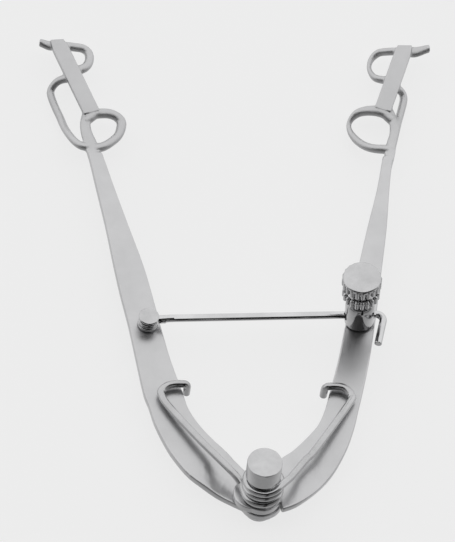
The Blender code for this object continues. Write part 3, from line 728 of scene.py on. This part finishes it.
def knurled_screw():
    """The clamp screw: a plain shank, and a head of two beaded rows with a groove between them."""
    foot = BLOCK_HEAD + 0.3
    top = foot + 4.2
    tip = ((0.6, 0.8), (0.75, 0.95), (0.75, 1.1))
    shank_and_neck = ((0.95, 1.1), (0.95, foot - 1.1), (1.35, foot - 1.0), (1.35, foot + 0.05))
    lower_disc = ((1.95, foot + 0.2), (2.0, foot + 1.2))
    groove = ((1.5, foot + 1.4), (1.5, foot + 2.4))
    upper_disc = (
        (2.15, foot + 2.6), (2.25, top - 0.75), (2.5, top - 0.6), (2.52, top - 0.35),
        (2.46, top - 0.17), (2.26, top - 0.06), (1.7, top),
    )
    core = rounded(turned(tip + shank_and_neck + lower_disc + groove + upper_disc), 0.05, 2, 40)
    rows = [
        knurl_row(2.5, 0.29, foot - 0.05, foot + 1.4, 0.25),
        knurl_row(2.63, 0.3, foot + 2.4, top - 0.22, 0.27),
    ]
    pick(core, *rows)
    bpy.ops.object.join()
    set_in_place(core, (*BLOCK_AT, ROD_LEVEL), BLOCK_LEAN)
    return fit(core, "thumb_screw_knurled", "screw", "thumb_screw", knurled_steel)


knurled_screw()


# ---------------------------------------------------------------- torsion spring

# The legs: x, y and height above the arm, from the coil out. The hooks: x and y, up to the bend over the arm
LEFT_LEG = (
    (-2.65, 0.9, 1.6), (-3.4, 2.1, 1.85), (-4.7, 3.8, 1.8), (-7.75, 7.9, 1.42), (-11.4, 13.3, 0.9),
    (-12.25, 15.1, 0.85),
)
RIGHT_LEG = ((3.6, 0.75, 3.5), (5.83, 4.06, 2.7), (7.3, 6.1, 2.15), (12.3, 14.2, 0.95), (12.65, 15.4, 0.85))
LEFT_HOOK = ((-12.2, 15.9), (-11.4, 16.6), (-10.3, 16.9), (-9.2, 16.9))
RIGHT_HOOK = ((12.4, 16.05), (11.7, 16.7), (10.7, 16.9), (9.75, 16.85))
HOOK_ABOVE_ARM, HOOK_INWARDS = 0.85, 0.3
COIL_STEPS, COIL_SWELL = 150, 0.28


def leg_and_hook(leg, hook):
    """The wire from the coil along the arm, round and down over the arm's inner edge."""
    level = ARM_TOP + HOOK_ABOVE_ARM
    x, y = hook[-1]
    inwards = -math.copysign(HOOK_INWARDS, x)
    line = [(px, py, ARM_TOP + above) for px, py, above in leg] + [(px, py, level) for px, py in hook]
    line += [(x + share * inwards, y, level - drop) for share, drop in ((1, 0.2), (1.5, 0.6), (1.6, 2.1))]
    return through(line, 8)


def wound_spring():
    """One drawn wire: hook, leg, coil, leg and hook."""
    coil = []
    for step in range(COIL_STEPS + 1):
        along = step / COIL_STEPS
        at = COIL_FROM + (COIL_TO - COIL_FROM) * along
        swell = COIL_SWELL * math.sin(math.pi * along) ** 2
        level = COIL_BOTTOM + (COIL_TOP - COIL_BOTTOM) * along + swell
        coil.append(Vector((COIL_RADIUS * math.cos(at), COIL_RADIUS * math.sin(at), level)))
    line = leg_and_hook(LEFT_LEG, LEFT_HOOK)[::-1] + coil + leg_and_hook(RIGHT_LEG, RIGHT_HOOK)
    spring = bent_wire(line, WIRE_RADIUS, 0.12)
    fit(spring, "torsion_spring_wire", None, "torsion_spring", drawn_wire, 60)
    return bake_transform(spring)


wound_spring()


# ---------------------------------------------------------------- floor, light and camera

PALE = colour("#ECECEC")


def floor():
    """A pale table top with a soft shadow, which the metal doesn't mirror: it mirrors the room instead."""
    clear_selection()
    bpy.ops.mesh.primitive_plane_add(size=3, location=(0, 0.03, -0.00002))
    table = bpy.context.object
    table.name = "floor"
    made = bpy.data.materials.new("pale_table_top")
    made.use_nodes = True
    tree = made.node_tree
    tree.nodes.remove(tree.nodes["Principled BSDF"])
    shade = add(tree, "ShaderNodeBsdfDiffuse", values={"Color": PALE})
    glow = add(tree, "ShaderNodeEmission", values={"Color": PALE, "Strength": 1.065})
    seen = add(tree, "ShaderNodeMixShader", values={0: 0.85}, links={1: shade.outputs[0], 2: glow.outputs[0]})
    clear = add(tree, "ShaderNodeBsdfTransparent")
    path = add(tree, "ShaderNodeLightPath")
    both = add(tree, "ShaderNodeMixShader",
               links={0: path.outputs["Is Glossy Ray"], 1: seen.outputs[0], 2: clear.outputs[0]})
    tree.links.new(both.outputs[0], tree.nodes["Material Output"].inputs["Surface"])
    table.data.materials.append(made)


# What darkens the room, as soft edges that all have to be passed. Each is an axis of the way that light comes
# from, where the edge starts and ends on it, and how much is let through on either side.
# The front of the room: dark from steeply overhead down to a third of the way up, and grey below that
DARK_FRONT = (
    ("Y", -0.08, -0.28, 0, 1), ("Z", 0.97, 0.92, 0, 1), ("Z", -0.1, -0.3, 1, 0), ("Z", 0.3, 0.62, 0.72, 1),
)
# A narrow black card stands upright in front, a little to the right: it draws the dark line along the rod
BLACK_CARD = (
    ("X", 0.03, 0.08, 0, 1), ("X", 0.36, 0.3, 0, 1), ("Y", -0.26, -0.36, 0, 1),
    ("Z", -0.52, -0.42, 0, 1), ("Z", 0.66, 0.54, 0, 1),
)


def studio():
    """Soft light from overhead, the sides and the back, and a dark room in front."""
    world = bpy.data.worlds.new("studio")
    bpy.context.scene.world = world
    world.use_nodes = True
    tree = world.node_tree
    tree.nodes.clear()
    way = add(tree, "ShaderNodeSeparateXYZ",
              links={"Vector": add(tree, "ShaderNodeTexCoord").outputs["Generated"]})

    def inside(edges):
        """How far the way that light comes from lies inside all these edges."""
        share = None
        for axis, start, end, at_start, at_end in edges:
            part = add(tree, "ShaderNodeMapRange", {"interpolation_type": "SMOOTHSTEP"},
                       {"From Min": start, "From Max": end, "To Min": at_start, "To Max": at_end},
                       {"Value": way.outputs[axis]}).outputs["Result"]
            if share is not None:
                part = add(tree, "ShaderNodeMath", {"operation": "MULTIPLY"},
                           links={0: share, 1: part}).outputs["Value"]
            share = part
        return share

    low = add(tree, "ShaderNodeMapRange",
              values={"From Min": -0.6, "From Max": 0.6, "To Min": 0.4, "To Max": 0.8},
              links={"Value": way.outputs["Y"]})
    level = add(tree, "ShaderNodeMapRange", values={"From Min": -0.05, "From Max": 0.1, "To Max": 1.0},
                links={"Value": way.outputs["Z"], "To Min": low.outputs["Result"]})
    dark = add(tree, "ShaderNodeMath", {"operation": "MAXIMUM"},
               links={0: inside(DARK_FRONT), 1: inside(BLACK_CARD)})
    left = add(tree, "ShaderNodeMath", {"operation": "SUBTRACT"}, {0: 1.0}, {1: dark.outputs["Value"]})
    light = add(tree, "ShaderNodeMath", {"operation": "MULTIPLY"},
                links={0: level.outputs["Result"], 1: left.outputs["Value"]})
    room = add(tree, "ShaderNodeBackground", links={"Color": light.outputs["Value"]})
    pale = add(tree, "ShaderNodeBackground", values={"Color": PALE})
    path = add(tree, "ShaderNodeLightPath")
    both = add(tree, "ShaderNodeMixShader",
               links={0: path.outputs["Is Camera Ray"], 1: room.outputs[0], 2: pale.outputs[0]})
    add(tree, "ShaderNodeOutputWorld", links={"Surface": both.outputs[0]})


# The photograph's frame and where the pivot's foot shows in it, in pixels, and its scale at the object
FRAME = (455, 542)
PIVOT_AT = (259.5, 500.5)
FRAME_MIDDLE_DOWN = 271.3
PIXELS_PER_MM = 7.6 * 1.0065
LENS, SENSOR = 1200, 36


def camera():
    """A long lens at the photograph's angle, which shows 59.5 by 70.9 mm at the object."""
    right = Vector((0.99298, -0.05351, 0.10551))
    up = Vector((-0.01541, 0.82578, 0.56379))
    back = right.cross(up).normalized()
    up = back.cross(right).normalized()
    data = bpy.data.cameras.new("camera")
    data.lens, data.sensor_width = LENS, SENSOR
    data.clip_start, data.clip_end = 0.5, 10
    obj = bpy.data.objects.new("camera", data)
    PIECES.objects.link(obj)
    across = (FRAME[0] / 2 - PIVOT_AT[0]) / PIXELS_PER_MM
    rise = (PIVOT_AT[1] - FRAME_MIDDLE_DOWN) / PIXELS_PER_MM
    middle = Vector((0, 0, 1.9)) + right * across + up * rise
    # The frame's middle is moved along the view to the depth of the object's own middle
    middle += back * (Vector((0, 33, 3)).dot(back) - middle.dot(back))
    distance = FRAME[1] / PIXELS_PER_MM * LENS / SENSOR
    turn = Matrix((right, up, back)).transposed().to_4x4()
    obj.matrix_world = Matrix.Translation((middle + back * distance) * MM) @ turn
    bpy.context.scene.camera = obj


floor()
studio()
camera()
bpy.context.scene.view_settings.view_transform = "Standard"
clear_selection()
